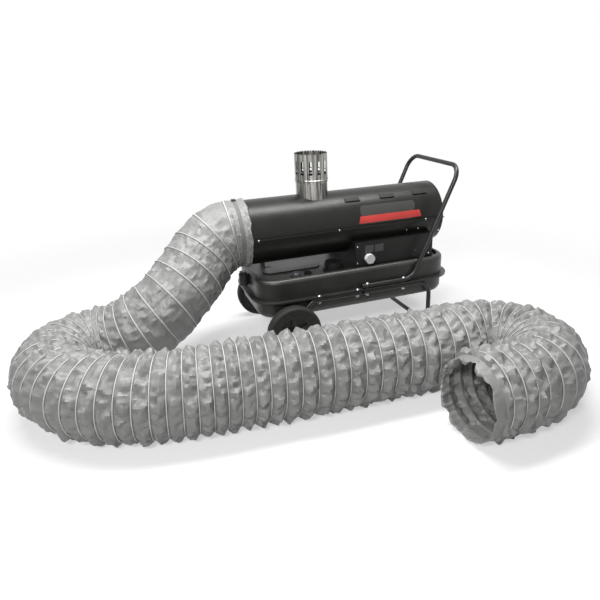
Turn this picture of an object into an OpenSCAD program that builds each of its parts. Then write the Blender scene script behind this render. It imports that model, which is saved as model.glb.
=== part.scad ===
// Indirect fired space heater on two wheels, with a round flexible air duct.
// Origin: middle of the heater's box, on the floor. The fan end points along +X.
// Lengths along the casing are measured from the flue's axis.

/* [Casing] */
// Outside diameter of the round casing
casing_d = 236; // [226:1:244]
// Length of the two casing shells
shell_len = 759; // [750:1:780]
// From the flue's axis to the outlet end of the shells
outlet_end = 262; // [256:1:270]
// How far the outlet ring sticks out of the shells
outlet_reach = 40.5; // [36:0.5:46]
// Sheet thickness of casing, control box and flue
sheet_t = 1.2; // [1:0.1:1.6]
// Width of the seam flange on each side of the casing
seam_w = 15; // [13:0.5:18]
// Gap between the tank's top and the casing
casing_gap = 27; // [24:1:32]

/* [Inside the casing] */
// Outside diameter of the heat exchanger drum
drum_d = 190; // [180:1:198]
// Length of the heat exchanger drum
drum_len = 400; // [380:5:405]
// Outside diameter of the combustion chamber
chamber_d = 144; // [136:1:150]
// Wall of drum and chamber
drum_wall = 2; // [1.5:0.1:3]
// Diameter of the burner head
burner_d = 84; // [76:1:90]
// Diameter of the fan
fan_d = 204; // [196:1:210]
// Diameter of the fan motor
motor_d = 100; // [92:1:108]
// Length of the fan motor
motor_len = 90; // [80:1:96]
// Diameter of the motor shaft
shaft_d = 12; // [10:0.5:14]
// Diameter of the fuel pump
pump_d = 72; // [64:1:80]

/* [Flue] */
// Outside diameter of the flue cowl
flue_d = 120; // [112:1:126]
// Height of the flue cowl's rim above the casing
flue_h = 148; // [140:1:160]
// Length of the cowl
cowl_len = 104; // [98:1:112]
// Number of slots round the cowl
slot_n = 12; // [8:1:14]
// Width of one slot
slot_w = 10; // [6:0.5:12]
// Height of one slot
slot_h = 36; // [28:1:40]

/* [Tank] */
// Length of the tank's upper half
tank_len = 774; // [760:2:790]
// Width of the tank's upper half
tank_w = 340; // [328:2:352]
// Height of the upper half above its flange
tank_upper_h = 75.5; // [72:0.5:80]
// Depth of the lower half below its flange
tank_lower_h = 67; // [60:1:72]
// Corner radius of the tank in plan
tank_r = 82; // [74:1:90]
// Sheet thickness of the tank
tank_t = 2; // [1.5:0.1:2.5]
// Width of the flange that joins the halves
flange_out = 18; // [17.5:0.1:20]
// Thickness of each flange
flange_t = 3; // [2:0.1:4]
// Height of the flange seam above the floor
seam_h = 202.5; // [196:0.5:210]
// Depth of the recess in the tank's top
recess_deep = 10; // [7:0.5:12]
// Width of the raised rim round the recess
rim_w = 20; // [18.5:0.5:24]

/* [Control box] */
// Length of the control box
box_len = 331; // [322:1:340]
// Width of the control box
box_w = 277; // [270:1:284]
// Height of the control box
box_h = 100; // [92:1:108]
// Across the thermostat knob
knob_d = 37; // [32:0.5:42]
// Thickness of the knob
knob_t = 18; // [14:0.5:22]

/* [Handle and legs] */
// Diameter of the frame tube
tube_d = 17; // [15:0.5:17.5]
// Wall of the frame tube
tube_t = 1.5; // [1:0.1:2.5]
// Height of the handle's top bar
handle_h = 624; // [600:2:650]
// From the flue's axis to the handle's top bar
handle_x = 524; // [505:1:535]
// Bend radius of the handle and legs
bend_r = 55; // [45:1:60]

/* [Wheels] */
// Diameter of a wheel
wheel_d = 200; // [180:2:210]
// Width of a tyre
tyre_w = 37; // [30:1:42]
// Height of the tyre's section
tyre_h = 20; // [14:0.5:24]
// From the flue's axis back to the axle
axle_back = 165; // [158:1:170]
// Diameter of the axle
axle_d = 16; // [14:0.5:18]
// Number of spokes in a wheel
spoke_n = 5; // [4:1:6]

/* [Duct] */
// Diameter of the duct over its wires
duct_d = 248; // [244:1:248]
// Depth of the fabric between two wires
duct_dip = 8; // [5:0.5:10]
// Wall of the duct between two wires
duct_t = 4; // [3:0.5:6]
// Number of wire turns along the duct
rib_n = 65; // [50:1:70]
// Length of the sewn hem at the duct's mouth
hem_len = 35; // [25:1:45]
// Outside diameter of the hem
hem_d = 239; // [234:1:240]

/* [Hidden] */
$fn = 96;

// Gap between two fixed parts that nest
fit_gap = 0.3;
// Gap round a turning shaft
run_gap = 0.05;
// Screws of the casing and the panel
screw_r = 2;
screw_head_r = 4;
screw_hole_r = screw_r + 0.15;

// Heights and lengths that follow from the sizes above
flange_top = seam_h + flange_t;
flange_low = seam_h - flange_t;
tank_top = flange_top + tank_upper_h;
recess_h = tank_top - recess_deep;
shell_r = casing_d / 2;
shell_in_r = shell_r - sheet_t;
casing_h = tank_top + casing_gap + shell_r;
shell_x0 = -outlet_end;
shell_x1 = shell_len - outlet_end;
flue_x = (outlet_end + outlet_reach - handle_x - tube_d / 2) / 2;
tube_r = tube_d / 2;
rest_gap = 0.2;
drum_x0 = shell_x0 + 47;
drum_x1 = drum_x0 + drum_len;
drum_r = drum_d / 2;
chamber_r = chamber_d / 2;
chamber_x1 = drum_x1 + 17;
cowl_r = flue_d / 2;
cowl_in_r = cowl_r - sheet_t;
sleeve_r = cowl_in_r - fit_gap;
spigot_r = sleeve_r - sheet_t - fit_gap;

// The heater stands off the origin so that its box is centred on it
module at_flue() translate([flue_x, 0, 0]) children();

module ring_2d(outer_r, inner_r) difference() {
  circle(r = outer_r);
  circle(r = inner_r);
}

// A shape across the casing, drawn from x0 to x1 along its axis
module along_casing(x0, x1)
  translate([x0, 0, casing_h]) rotate([90, 0, 90]) linear_extrude(x1 - x0) children();

// A shape in the side view, drawn from y0 to y1
module across(y0, y1)
  translate([0, y1, 0]) rotate([90, 0, 0]) linear_extrude(y1 - y0) children();

// A round piece that stands up, from z0 to z1
module post(x, y, z0, z1, r) translate([x, y, z0]) cylinder(h = z1 - z0, r = r);

module both_sides() for (side = [0, 1]) mirror([0, side, 0]) children();

// Casing: an upper and a lower half of sheet steel, screwed together at two seams
seam_screw_x = [shell_x0 + 14, 56, shell_x1 - 80];
seam_screw_y = shell_r + seam_w * 0.6;
side_screws_at = [[344, -19], [394, -19], [shell_x1 - 6, -30]];
louvre_at = [131, 275, 415];
louvre_len = 60;
louvre_w = 20;
louvre_rise = 4;
louvre_tilt = 37;

module shell_half_2d() difference() {
  union() {
    intersection() {
      circle(r = shell_r);
      translate([-shell_r, 0]) square([casing_d, shell_r]);
    }
    translate([-shell_r - seam_w, 0]) square([casing_d + 2 * seam_w, sheet_t]);
  }
  circle(r = shell_in_r);
}

module seam_screw_spots()
  for (x = seam_screw_x, side = [-1, 1]) translate([x, side * seam_screw_y, casing_h]) children();

module side_screw_spots() both_sides()
  for (s = side_screws_at)
    translate([s[0], 0, casing_h]) rotate([90 - s[1], 0, 0]) translate([0, 0, shell_r]) children();

module louvre_spots()
  for (x = louvre_at)
    translate([x, 0, casing_h]) rotate([louvre_tilt, 0, 0]) translate([0, 0, shell_r]) children();

// One pressed louvre: a sheet lifted along its lower edge, open below
module louvre_2d() polygon([[louvre_w / 2, -0.8], [louvre_w / 2, 0.4], [-louvre_w / 2, louvre_rise],
  [-louvre_w / 2, louvre_rise - sheet_t]]);

module louvre() {
  translate([-louvre_len / 2, 0, 0]) rotate([90, 0, 90]) linear_extrude(louvre_len) louvre_2d();
  for (x = [-louvre_len / 2, louvre_len / 2 - sheet_t])
    translate([x, 0, 0]) rotate([90, 0, 90]) linear_extrude(sheet_t)
      polygon([[louvre_w / 2, -0.8], [-louvre_w / 2, louvre_rise - sheet_t], [-louvre_w / 2, -0.9]]);
}

module upper_shell() color("#26282a") at_flue() {
  difference() {
    along_casing(shell_x0, shell_x1) shell_half_2d();
    translate([0, 0, casing_h]) cylinder(h = casing_d, r = sleeve_r + fit_gap);
    seam_screw_spots() cylinder(h = 6 * sheet_t, r = screw_hole_r, center = true);
    louvre_spots() cube([louvre_len - 6 * sheet_t, louvre_w / 2, 6 * sheet_t], center = true);
  }
  louvre_spots() louvre();
}

module lower_shell() color("#222425") at_flue() difference() {
  along_casing(shell_x0, shell_x1) mirror([0, 1]) shell_half_2d();
  seam_screw_spots() cylinder(h = 6 * sheet_t, r = screw_hole_r, center = true);
  side_screw_spots() cylinder(h = 6 * sheet_t, r = screw_hole_r, center = true);
  post(pump_x, 0, tank_top, casing_h - shell_r / 2, line_r + 1);
}

module seam_screws() color("#b9bcbe") at_flue() seam_screw_spots() {
  translate([0, 0, -4 * sheet_t]) cylinder(h = 5 * sheet_t, r = screw_r);
  translate([0, 0, sheet_t]) cylinder(h = 2.4, r1 = screw_head_r, r2 = screw_head_r - 1.2);
}

module side_screws() color("#b9bcbe") at_flue() side_screw_spots() {
  translate([0, 0, -5]) cylinder(h = 5.4, r = screw_r);
  translate([0, 0, 0.4]) cylinder(h = 2.4, r1 = screw_head_r, r2 = screw_head_r - 1.2);
}

// Warm air leaves through a ring in the outlet end, which carries the duct
module outlet_ring() color("#1c1d1e") at_flue()
  along_casing(shell_x0 - outlet_reach, shell_x0 + 32)
    ring_2d(shell_in_r - fit_gap, shell_in_r - fit_gap - sheet_t);

// Rear guard: a rim and a grille of rings and bars over the fan's air inlet
guard_bar = 2.4;
guard_pitch = 12;
guard_n = floor((shell_in_r - 12) / guard_pitch);

module rear_guard() color("#1c1d1e") at_flue() {
  difference() {
    along_casing(shell_x1 - 12, shell_x1) ring_2d(shell_in_r - fit_gap, shell_in_r - fit_gap - 2);
    side_screw_spots() cylinder(h = 12, r = screw_hole_r, center = true);
  }
  along_casing(shell_x1, shell_x1 + 2.5) ring_2d(shell_r, shell_in_r - 8);
  along_casing(shell_x1 + 2.5, shell_x1 + 5) ring_2d(shell_r - 2.5, shell_in_r - 8);
  along_casing(shell_x1 + 1, shell_x1 + 1 + guard_bar) {
    for (k = [1 : guard_n]) ring_2d(k * guard_pitch, k * guard_pitch - guard_bar);
    for (k = [0 : 3]) rotate(k * 45) square([2 * shell_in_r - 14, guard_bar], center = true);
  }
}

// Fan, motor and pump stand in line on one shaft
shaft_r = shaft_d / 2;
burner_x1 = drum_x1 + 115;
pump_x = burner_x1 + 12.5;
motor_x0 = burner_x1 + 25;
motor_x1 = motor_x0 + motor_len;
fan_x = motor_x1 + 39;
fan_hub_len = 28;
fan_blade_n = 5;
fan_pitch = 33;
bracket_x = motor_x0 + 30;
bracket_w = 20;

module fan() color("#3a3d40") at_flue() difference() {
  union() {
    along_casing(fan_x - fan_hub_len / 2, fan_x + fan_hub_len / 2) circle(r = 22);
    intersection() {
      along_casing(fan_x - fan_hub_len, fan_x + fan_hub_len) circle(r = fan_d / 2);
      for (k = [0 : fan_blade_n - 1])
        translate([fan_x, 0, casing_h]) rotate([k * 360 / fan_blade_n, 0, 0])
          rotate([0, 0, fan_pitch])
          translate([-1, -28, 18]) cube([2, 56, fan_d / 2]);
    }
  }
  along_casing(fan_x - fan_hub_len, fan_x + fan_hub_len) circle(r = shaft_r + run_gap);
}

module fan_motor() color("#55585a") at_flue() difference() {
  union() {
    along_casing(motor_x0, motor_x1) circle(r = motor_d / 2);
    along_casing(motor_x1, motor_x1 + 6) circle(r = motor_d / 4);
  }
  along_casing(motor_x0 - 1, motor_x1 + 7) circle(r = shaft_r + run_gap);
}

module motor_shaft() color("#9da0a3") at_flue()
  along_casing(burner_x1 + 6, fan_x + fan_hub_len / 2 + 6) circle(r = shaft_r);

// A clamp round the motor with three arms that reach the casing
module motor_bracket() color("#2c2e30") at_flue()
  along_casing(bracket_x, bracket_x + bracket_w) {
    ring_2d(motor_d / 2 + fit_gap + 4, motor_d / 2 + fit_gap);
    intersection() {
      ring_2d(shell_in_r - fit_gap, motor_d / 2 + 2);
      for (a = [90, 210, 330]) rotate(a) translate([0, -2]) square([shell_r, 4]);
    }
  }

module fuel_pump() color("#8d9093") at_flue() difference() {
  union() {
    along_casing(burner_x1, burner_x1 + 25) circle(r = pump_d / 2);
    post(pump_x, 0, casing_h - pump_d / 2 - 8, casing_h - pump_d / 4, 8);
  }
  along_casing(burner_x1 + 5, burner_x1 + 26) circle(r = shaft_r + run_gap);
  post(pump_x, 0, casing_h - pump_d / 2 - 9, casing_h - pump_d / 2 + 4, line_r + run_gap);
}

// Burner, chamber and heat exchanger
module burner_head() color("#8a8d90") at_flue() {
  along_casing(chamber_x1, chamber_x1 + 4) circle(r = chamber_r - 6);
  along_casing(chamber_x1 + 4, burner_x1) circle(r = burner_d / 2);
}

module combustion_chamber() color("#77797b") at_flue() {
  along_casing(drum_x0 + 25, chamber_x1 - drum_wall) ring_2d(chamber_r, chamber_r - drum_wall);
  along_casing(chamber_x1 - drum_wall, chamber_x1) ring_2d(chamber_r, burner_d / 2 - 8);
}

module heat_exchanger() color("#77797b") at_flue() difference() {
  union() {
    along_casing(drum_x0, drum_x0 + drum_wall) circle(r = drum_r);
    along_casing(drum_x0 + drum_wall, drum_x1 - drum_wall) ring_2d(drum_r, drum_r - drum_wall);
    along_casing(drum_x1 - drum_wall, drum_x1) ring_2d(drum_r, chamber_r + fit_gap);
    difference() {
      post(0, 0, casing_h + chamber_r + 4, casing_h + shell_r, spigot_r);
      along_casing(drum_x0, drum_x1) circle(r = drum_r - drum_wall / 2);
    }
  }
  post(0, 0, casing_h + chamber_r, casing_h + shell_r + 1, spigot_r - drum_wall);
}

// Two plates in the lower shell carry the drum
module exchanger_saddles() color("#2c2e30") at_flue()
  for (x = [drum_x0 + 40, drum_x1 - 60])
    along_casing(x, x + 3) intersection() {
      ring_2d(shell_in_r - fit_gap, drum_r + fit_gap);
      translate([-drum_r, -shell_r]) square([drum_d, shell_r / 2]);
    }

// Flue: a sleeve in the casing and a slotted cowl pushed over it
cowl_top = casing_h + shell_r + flue_h;
cowl_low = cowl_top - cowl_len;
slot_low = cowl_top - 26 - slot_h;
sleeve_lap = 8;
bead_h = sleeve_lap + 2;
slot_turn = 7.3;
tooth = 3;
tooth_n = 36;

module flue_sleeve() color("#a9acae") at_flue()
  translate([0, 0, casing_h + shell_r - 22]) linear_extrude(cowl_low + sleeve_lap - casing_h - shell_r + 22)
    ring_2d(sleeve_r, sleeve_r - sheet_t);

module flue_cowl() color("#c4c7c9") at_flue() difference() {
  union() {
    translate([0, 0, cowl_low]) linear_extrude(cowl_len) ring_2d(cowl_r, cowl_in_r);
    translate([0, 0, cowl_low + bead_h]) rotate_extrude()
      polygon([[cowl_r - 0.6, -3], [cowl_r + 2, -1], [cowl_r + 2, 1], [cowl_r - 0.6, 3]]);
  }
  translate([0, 0, cowl_low + bead_h]) rotate_extrude()
    polygon([[cowl_in_r - 1, -2], [cowl_in_r + 1.8, -0.8], [cowl_in_r + 1.8, 0.8], [cowl_in_r - 1, 2]]);
  for (k = [0 : slot_n - 1]) rotate(slot_turn + k * 360 / slot_n) {
    translate([-slot_w / 2, cowl_in_r - 2, slot_low]) cube([slot_w, 6, slot_h]);
    translate([-slot_w * 0.7, cowl_in_r - 2, slot_low - 11]) cube([slot_w * 1.4, 6, 8]);
  }
  for (k = [0 : tooth_n - 1]) rotate((k + 0.5) * 360 / tooth_n)
    translate([-tooth / 2, cowl_in_r - 2, cowl_top - tooth]) cube([tooth, 6, 2 * tooth]);
}

// The casing rests on a bracket behind its outlet end and on the control box
module casing_support() color("#1c1d1e") at_flue() {
  support_x = drum_x0 + 20;
  support_y = 25;
  support_w = casing_d / 4;
  translate([support_x, 0, 0]) difference() {
    translate([0, support_y, recess_h]) cube([3, support_w, casing_h - recess_h]);
    translate([-support_x, 0, 0]) along_casing(support_x - 1, support_x + 4)
      circle(r = shell_r + fit_gap);
    translate([-1, 0, casing_h - shell_r / 2]) cube([5, 2 * support_w, shell_r]);
  }
  translate([support_x, support_y, recess_h]) cube([26, support_w, 3]);
}

// Control box below the fan end, open to the casing above it
box_x0 = 114;
box_x1 = box_x0 + box_len;
box_z0 = recess_h + fit_gap;
box_y = box_w / 2;
panel_t = 1.5;
panel_x0 = box_x0 + 2;
panel_x1 = box_x1 - 11;
panel_z0 = box_z0 + 10;
panel_z1 = box_z0 + box_h - 5;
panel_screw_x = [panel_x0 + 6, panel_x1 - 7];
panel_screw_z = [panel_z0 + 11, panel_z1 - 10];
panel_y = -box_y - panel_t;
knob_x = 168;
knob_z = box_z0 + 37;
display_x = [170, 211];
display_z = box_z0 + 72;
display_w = 36;
display_h = 27;
bezel_w = 3;
window = [display_w - 2 * bezel_w, display_h - 2 * bezel_w];
lamp_x = 369;
lamp_z = box_z0 + 40;
lamp_r = 3.5;
gland_y = 70;
gland_z = box_z0 + 29;
gland_r = 8;

module panel_screw_spots()
  for (x = panel_screw_x, z = panel_screw_z) translate([x, panel_y, z]) rotate([90, 0, 0]) children();

module control_housing() color("#232526") at_flue() difference() {
  translate([box_x0, -box_y, box_z0]) cube([box_len, box_w, box_h]);
  translate([box_x0 + sheet_t, sheet_t - box_y, box_z0 + sheet_t])
    cube([box_len - 2 * sheet_t, box_w - 2 * sheet_t, box_h - 2 * sheet_t]);
  along_casing(box_x0 - 1, box_x1 + 1) circle(r = shell_r + fit_gap);
  translate([panel_x0 + 14, -box_y - 1, panel_z0 + 3])
    cube([panel_x1 - panel_x0 - 30, sheet_t + 2, panel_z1 - panel_z0 - 6]);
  panel_screw_spots() cylinder(h = 20, r = screw_hole_r, center = true);
  translate([box_x1 - sheet_t - 1, gland_y, gland_z]) rotate([0, 90, 0])
    cylinder(h = sheet_t + 2, r = gland_r + fit_gap);
  post(pump_x, 0, box_z0 - 1, box_z0 + sheet_t + 1, pickup_r + 1);
}

module through_panel() across(panel_y - 1, panel_y + panel_t + 1) children();

module control_panel() color("#1f2021") at_flue() difference() {
  translate([panel_x0, panel_y, panel_z0]) cube([panel_x1 - panel_x0, panel_t, panel_z1 - panel_z0]);
  through_panel() {
    for (x = display_x) translate([x, display_z]) square(window, center = true);
    translate([knob_x, knob_z]) circle(r = spindle_r + 0.5);
    translate([lamp_x, lamp_z]) circle(r = lamp_r + fit_gap / 2);
  }
  panel_screw_spots() cylinder(h = 4 * panel_t, r = screw_hole_r, center = true);
}

module panel_screws() color("#b9bcbe") at_flue() panel_screw_spots() {
  translate([0, 0, -panel_t - 6]) cylinder(h = panel_t + 6, r = screw_r);
  cylinder(h = 2.2, r1 = screw_head_r - 0.5, r2 = screw_head_r - 1.5);
}

// Thermostat: a body behind the panel, a spindle and a light grey knob with rounded corners
spindle_r = 3;
thermostat_r = 14;
thermostat_len = 28;

module thermostat_knob() color("#d3d5d6") at_flue() difference() {
  translate([0, -0.6, 0]) across(panel_y - knob_t, panel_y) translate([knob_x, knob_z]) intersection() {
    circle(r = knob_d / 2 * 1.09, $fn = 6);
    circle(r = knob_d / 2);
  }
  across(panel_y - knob_t + 4, panel_y) translate([knob_x, knob_z]) circle(r = spindle_r + run_gap);
  translate([knob_x - 1, panel_y - knob_t - 2, knob_z + knob_d / 5]) cube([2, 2, knob_d]);
}

module thermostat_spindle() color("#9da0a3") at_flue()
  across(panel_y - knob_t + 4, panel_y + panel_t + thermostat_len - 4)
    translate([knob_x, knob_z]) circle(r = spindle_r);

module thermostat() color("#44474a") at_flue() difference() {
  across(panel_y + panel_t, panel_y + panel_t + thermostat_len)
    translate([knob_x, knob_z]) circle(r = thermostat_r);
  across(panel_y + panel_t - 1, panel_y + panel_t + thermostat_len - 3)
    translate([knob_x, knob_z]) circle(r = spindle_r + run_gap);
}

module display_bezels() color("#3f4244") at_flue()
  for (x = display_x) across(panel_y - 2, panel_y) translate([x, display_z]) difference() {
    square([display_w, display_h], center = true);
    square(window, center = true);
  }

display_back = panel_y + 13.5;

module display_modules() color("#16181a") at_flue()
  for (x = display_x) across(panel_y - 1.5, display_back) translate([x, display_z])
    square([window[0] - fit_gap, window[1] - fit_gap], center = true);

module indicator_lamp() color("#8e1f17") at_flue() {
  across(panel_y, panel_y + panel_t + 12) translate([lamp_x, lamp_z]) circle(r = lamp_r);
  translate([lamp_x, panel_y, lamp_z]) rotate([90, 0, 0])
    cylinder(h = 2, r1 = lamp_r + 1, r2 = lamp_r - 0.5);
}

module circuit_board() color("#2f6b45") at_flue()
  across(display_back, display_back + 1.6) translate([display_x[0] - 25, display_z - 17]) square([90, 34]);

module ignition_transformer() color("#35383a") at_flue() {
  box = [80, 80, 30];
  translate([pump_x + pickup_r + 4, -box[1] / 2, box_z0 + sheet_t]) cube(box);
}

// The power lead enters here
module cable_gland() color("#202123") at_flue() translate([box_x1, gland_y, gland_z]) rotate([0, 90, 0])
  difference() {
    union() {
      translate([0, 0, -8]) cylinder(h = 20, r = gland_r);
      cylinder(h = 6, r = gland_r + 4, $fn = 6);
      translate([0, 0, -sheet_t - 4]) cylinder(h = 4, r = gland_r + 4, $fn = 6);
    }
    translate([0, 0, -9]) cylinder(h = 22, r = 4.5);
  }

// Tank: two pressed halves with rounded edges, joined at a flange
tank_x = 120;
tank_edge_r = 14;
tank_floor_r = 25;
taper = 3;

// A rounded slab, flat below, with its top edge rounded by e
module edge_2d(w, h, e) {
  translate([-w / 2, 0]) square([w, h - e]);
  translate([-w / 2 + e, 0]) square([w - 2 * e, h]);
  for (s = [-1, 1]) translate([s * (w / 2 - e), h - e]) circle(r = e);
}

module soft_slab(l, w, h, r, e) {
  for (sx = [-1, 1], sy = [-1, 1]) translate([sx * (l / 2 - r), sy * (w / 2 - r), 0])
    rotate_extrude() intersection() {
      edge_2d(2 * r, h, e);
      square([r, h]);
    }
  translate([r - l / 2, 0, 0]) rotate([90, 0, 90]) linear_extrude(l - 2 * r) edge_2d(w, h, e);
  translate([0, w / 2 - r, 0]) rotate([90, 0, 0]) linear_extrude(w - 2 * r) edge_2d(l, h, e);
}

module rounded_2d(l, w, r) {
  square([l - 2 * r, w], center = true);
  square([l, w - 2 * r], center = true);
  for (sx = [-1, 1], sy = [-1, 1]) translate([sx * (l / 2 - r), sy * (w / 2 - r)]) circle(r = r);
}

wall_w = rim_w - tank_t;
flange_l = tank_len + 2 * flange_out;
flange_w = tank_w + 2 * flange_out;

module tank_flange(z) translate([0, 0, z]) linear_extrude(flange_t)
  rounded_2d(flange_l, flange_w, tank_r + flange_out);

// A low pad is pressed up from the recess beside the filler
pad_at = [-102, -21];
pad_size = [224, 70];

module tank_pad() translate([pad_at[0] - tank_x, pad_at[1], recess_h]) linear_extrude(4)
  rounded_2d(pad_size[0], pad_size[1], 30);

module tank_upper() color("#2a2c2e") at_flue() translate([tank_x, 0, 0]) difference() {
  union() {
    translate([0, 0, seam_h]) soft_slab(tank_len, tank_w, tank_top - seam_h, tank_r, tank_edge_r);
    tank_flange(seam_h);
  }
  difference() {
    translate([0, 0, recess_h]) linear_extrude(2 * recess_deep)
      rounded_2d(tank_len - 2 * rim_w, tank_w - 2 * rim_w, tank_r - rim_w);
    tank_pad();
  }
  translate([0, 0, seam_h - 1]) difference() {
    soft_slab(tank_len - 2 * tank_t, tank_w - 2 * tank_t, tank_top - seam_h - tank_t + 1, tank_r - tank_t,
      tank_edge_r - tank_t);
    translate([0, 0, recess_h - seam_h - tank_t + 1]) linear_extrude(2 * recess_deep + tank_t)
      rounded_2d(tank_len - 2 * wall_w, tank_w - 2 * wall_w, tank_r - wall_w);
  }
  translate([-tank_x, 0, 0]) tank_openings();
  tank_bolt_holes();
}

module tank_lower() color("#242628") at_flue() translate([tank_x, 0, 0]) difference() {
  union() {
    translate([0, 0, seam_h]) mirror([0, 0, 1])
      soft_slab(tank_len - 2 * taper, tank_w - 2 * taper, seam_h - tank_low, tank_r - taper, tank_floor_r);
    tank_flange(flange_low);
  }
  translate([0, 0, seam_h + 1]) mirror([0, 0, 1])
    soft_slab(tank_len - 2 * taper - 2 * tank_t, tank_w - 2 * taper - 2 * tank_t,
      seam_h - tank_low + 1 - tank_t, tank_r - taper - tank_t, tank_floor_r - tank_t);
  translate([drain_x, 0, tank_low - 1]) cylinder(h = 3 * tank_t, r = drain_r + fit_gap / 2);
  tank_bolt_holes();
}

// Tank fittings
tank_low = flange_low - tank_lower_h;
neck_at = [42, 75 - tank_w / 2];
neck_r = 26;
neck_h = 21;
gauge_at = [-108, 70 - tank_w / 2];
gauge_r = 15;
vent_at = [-63, 70 - tank_w / 2];
vent_r = 10;
pickup_r = 18;
line_r = 3;
drain_x = 280;
drain_r = 7;
cap_r = 31.5;

module tank_openings() {
  translate([0, 0, recess_h - 2 * tank_t]) {
    translate(neck_at) cylinder(h = 4 * tank_t, r = neck_r - 2);
    translate(gauge_at) cylinder(h = 4 * tank_t, r = 6);
    translate(vent_at) cylinder(h = 4 * tank_t, r = vent_r - 3);
    translate([pump_x, 0]) cylinder(h = 4 * tank_t, r = line_r + 1.5);
  }
}

module filler_neck() color("#202224") at_flue() translate([neck_at[0], neck_at[1], recess_h]) difference() {
  union() {
    cylinder(h = 5, r = neck_r + 14);
    cylinder(h = neck_h, r = neck_r);
  }
  translate([0, 0, -1]) cylinder(h = neck_h + 2, r = neck_r - 2);
}

// The cap turns a quarter turn on the neck
module filler_cap() color("#1b1c1d") at_flue() translate([neck_at[0], neck_at[1], recess_h + 5 + fit_gap]) {
  cap_h = 25;
  difference() {
    union() {
      cylinder(h = cap_h, r = cap_r);
      for (k = [0 : 11]) rotate(k * 30) translate([cap_r - 2, -2.5, 2]) cube([3.5, 5, cap_h - 6]);
    }
    translate([0, 0, -1]) cylinder(h = neck_h - 5 + 1 + fit_gap, r = neck_r + fit_gap);
    for (side = [-1, 1]) translate([-cap_r, side * 15 - 6, cap_h - 5]) cube([2 * cap_r, 12, 10]);
  }
}

module fuel_gauge() color("#4a4d50") at_flue() translate([gauge_at[0], gauge_at[1], recess_h]) {
  cylinder(h = 5, r = gauge_r + 4);
  translate([0, 0, 5]) cylinder(h = 5, r1 = gauge_r, r2 = gauge_r - 3);
  translate([0, 0, tank_t - tank_upper_h]) cylinder(h = tank_upper_h - tank_t, r = 3);
}

module tank_vent() color("#1f2022") at_flue() translate([vent_at[0], vent_at[1], recess_h]) {
  cylinder(h = 4, r = vent_r + 4);
  translate([0, 0, 4]) cylinder(h = 8, r = vent_r, $fn = 6);
  translate([0, 0, -8]) cylinder(h = 8, r = vent_r - 3 - fit_gap);
}

module fuel_pickup() color("#7f8285") at_flue() translate([pump_x, 0, 0]) difference() {
  union() {
    translate([0, 0, recess_h]) cylinder(h = 5, r = pickup_r);
    translate([0, 0, tank_low + 20]) cylinder(h = recess_h - tank_low - 19, r = line_r + 1);
  }
  translate([0, 0, recess_h + 1]) cylinder(h = 5, r = line_r + run_gap);
}

module fuel_line() color("#a8703c") at_flue()
  post(pump_x, 0, recess_h + 1.5, casing_h - pump_d / 2 + 3, line_r);

// Fuel filter on the outlet end of the tank, with a bright bleed screw on its head
filter_r = 17;
filter_x = tank_x - tank_len / 2 - filter_r - fit_gap;
filter_top = tank_top - 2;

module fuel_filter() color("#1d1e20") at_flue() translate([filter_x, 0, 0]) difference() {
  union() {
    translate([0, 0, flange_top + 22]) cylinder(h = filter_top - flange_top - 30, r = filter_r);
    translate([0, 0, filter_top - 8]) cylinder(h = 8, r = filter_r - 3);
    translate([0, 0, flange_top + 18]) cylinder(h = 4, r1 = filter_r - 5, r2 = filter_r);
  }
  translate([0, 0, filter_top - 5]) cylinder(h = 6, r = screw_hole_r);
}

module filter_screw() color("#c2c5c7") at_flue() translate([filter_x, 0, filter_top]) {
  translate([0, 0, -4]) cylinder(h = 4, r = screw_r);
  cylinder(h = 3, r1 = screw_head_r, r2 = screw_head_r - 1.5);
}

module drain_plug() color("#8d9093") at_flue() translate([tank_x + drain_x, 0, tank_low]) {
  translate([0, 0, -7]) cylinder(h = 7, r = drain_r + 4, $fn = 6);
  cylinder(h = tank_t, r = drain_r);
}

// Frame tubes, drawn step by step along their own axis.
// A straight run laps into the bends next to it, which are a hair thicker.
bend_lap = 1;
bend_grow = 0.05;

module tube_run(l, laps = [0, 1]) {
  translate([0, 0, -laps[0] * bend_lap]) linear_extrude(l + (laps[0] + laps[1]) * bend_lap)
    ring_2d(tube_r, tube_r - tube_t);
  translate([0, 0, l]) children();
}

module tube_bend(a, r) {
  translate([r, 0, 0]) rotate([90, 0, 180]) rotate_extrude(angle = a) translate([r, 0])
    ring_2d(tube_r + bend_grow, tube_r - tube_t - bend_grow);
  translate([r - r * cos(a), 0, r * sin(a)]) rotate([0, a, 0]) children();
}

arm_y = tank_w / 2 + 0.5 + tube_r;
arm_z = flange_top + tube_r + rest_gap;
leg_z = flange_low - tube_r - rest_gap;
foot_z = tube_r + bend_grow;
run_x0 = 122;
run_x1 = 335;
slope = atan2(handle_h - arm_z, handle_x - run_x1);
slope_len = norm([handle_x - run_x1, handle_h - arm_z]);
slope_cut = bend_r * tan(slope / 2);
leg_x0 = 128;
leg_x = 413;
bolt_r = 4;
bolt_hole_r = bolt_r + 0.15;
bolt_x = [144, 297];
frame_bolt_x = [-50, 104];

module tank_bolt_holes() both_sides() for (x = concat(bolt_x, frame_bolt_x))
  translate([x - tank_x, arm_y, flange_low - 1]) cylinder(h = 2 * flange_t + 2, r = bolt_hole_r);

module bolt_holes(list, z) both_sides() for (x = list)
  translate([x, arm_y, z - tube_d]) cylinder(h = 2 * tube_d, r = bolt_hole_r);

// The straight bar between the two sides
module cross_bar(x, z) translate([x, 0, z]) rotate([90, 0, 0])
  linear_extrude(2 * (arm_y - bend_r + bend_lap), center = true) ring_2d(tube_r, tube_r - tube_t);

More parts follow.
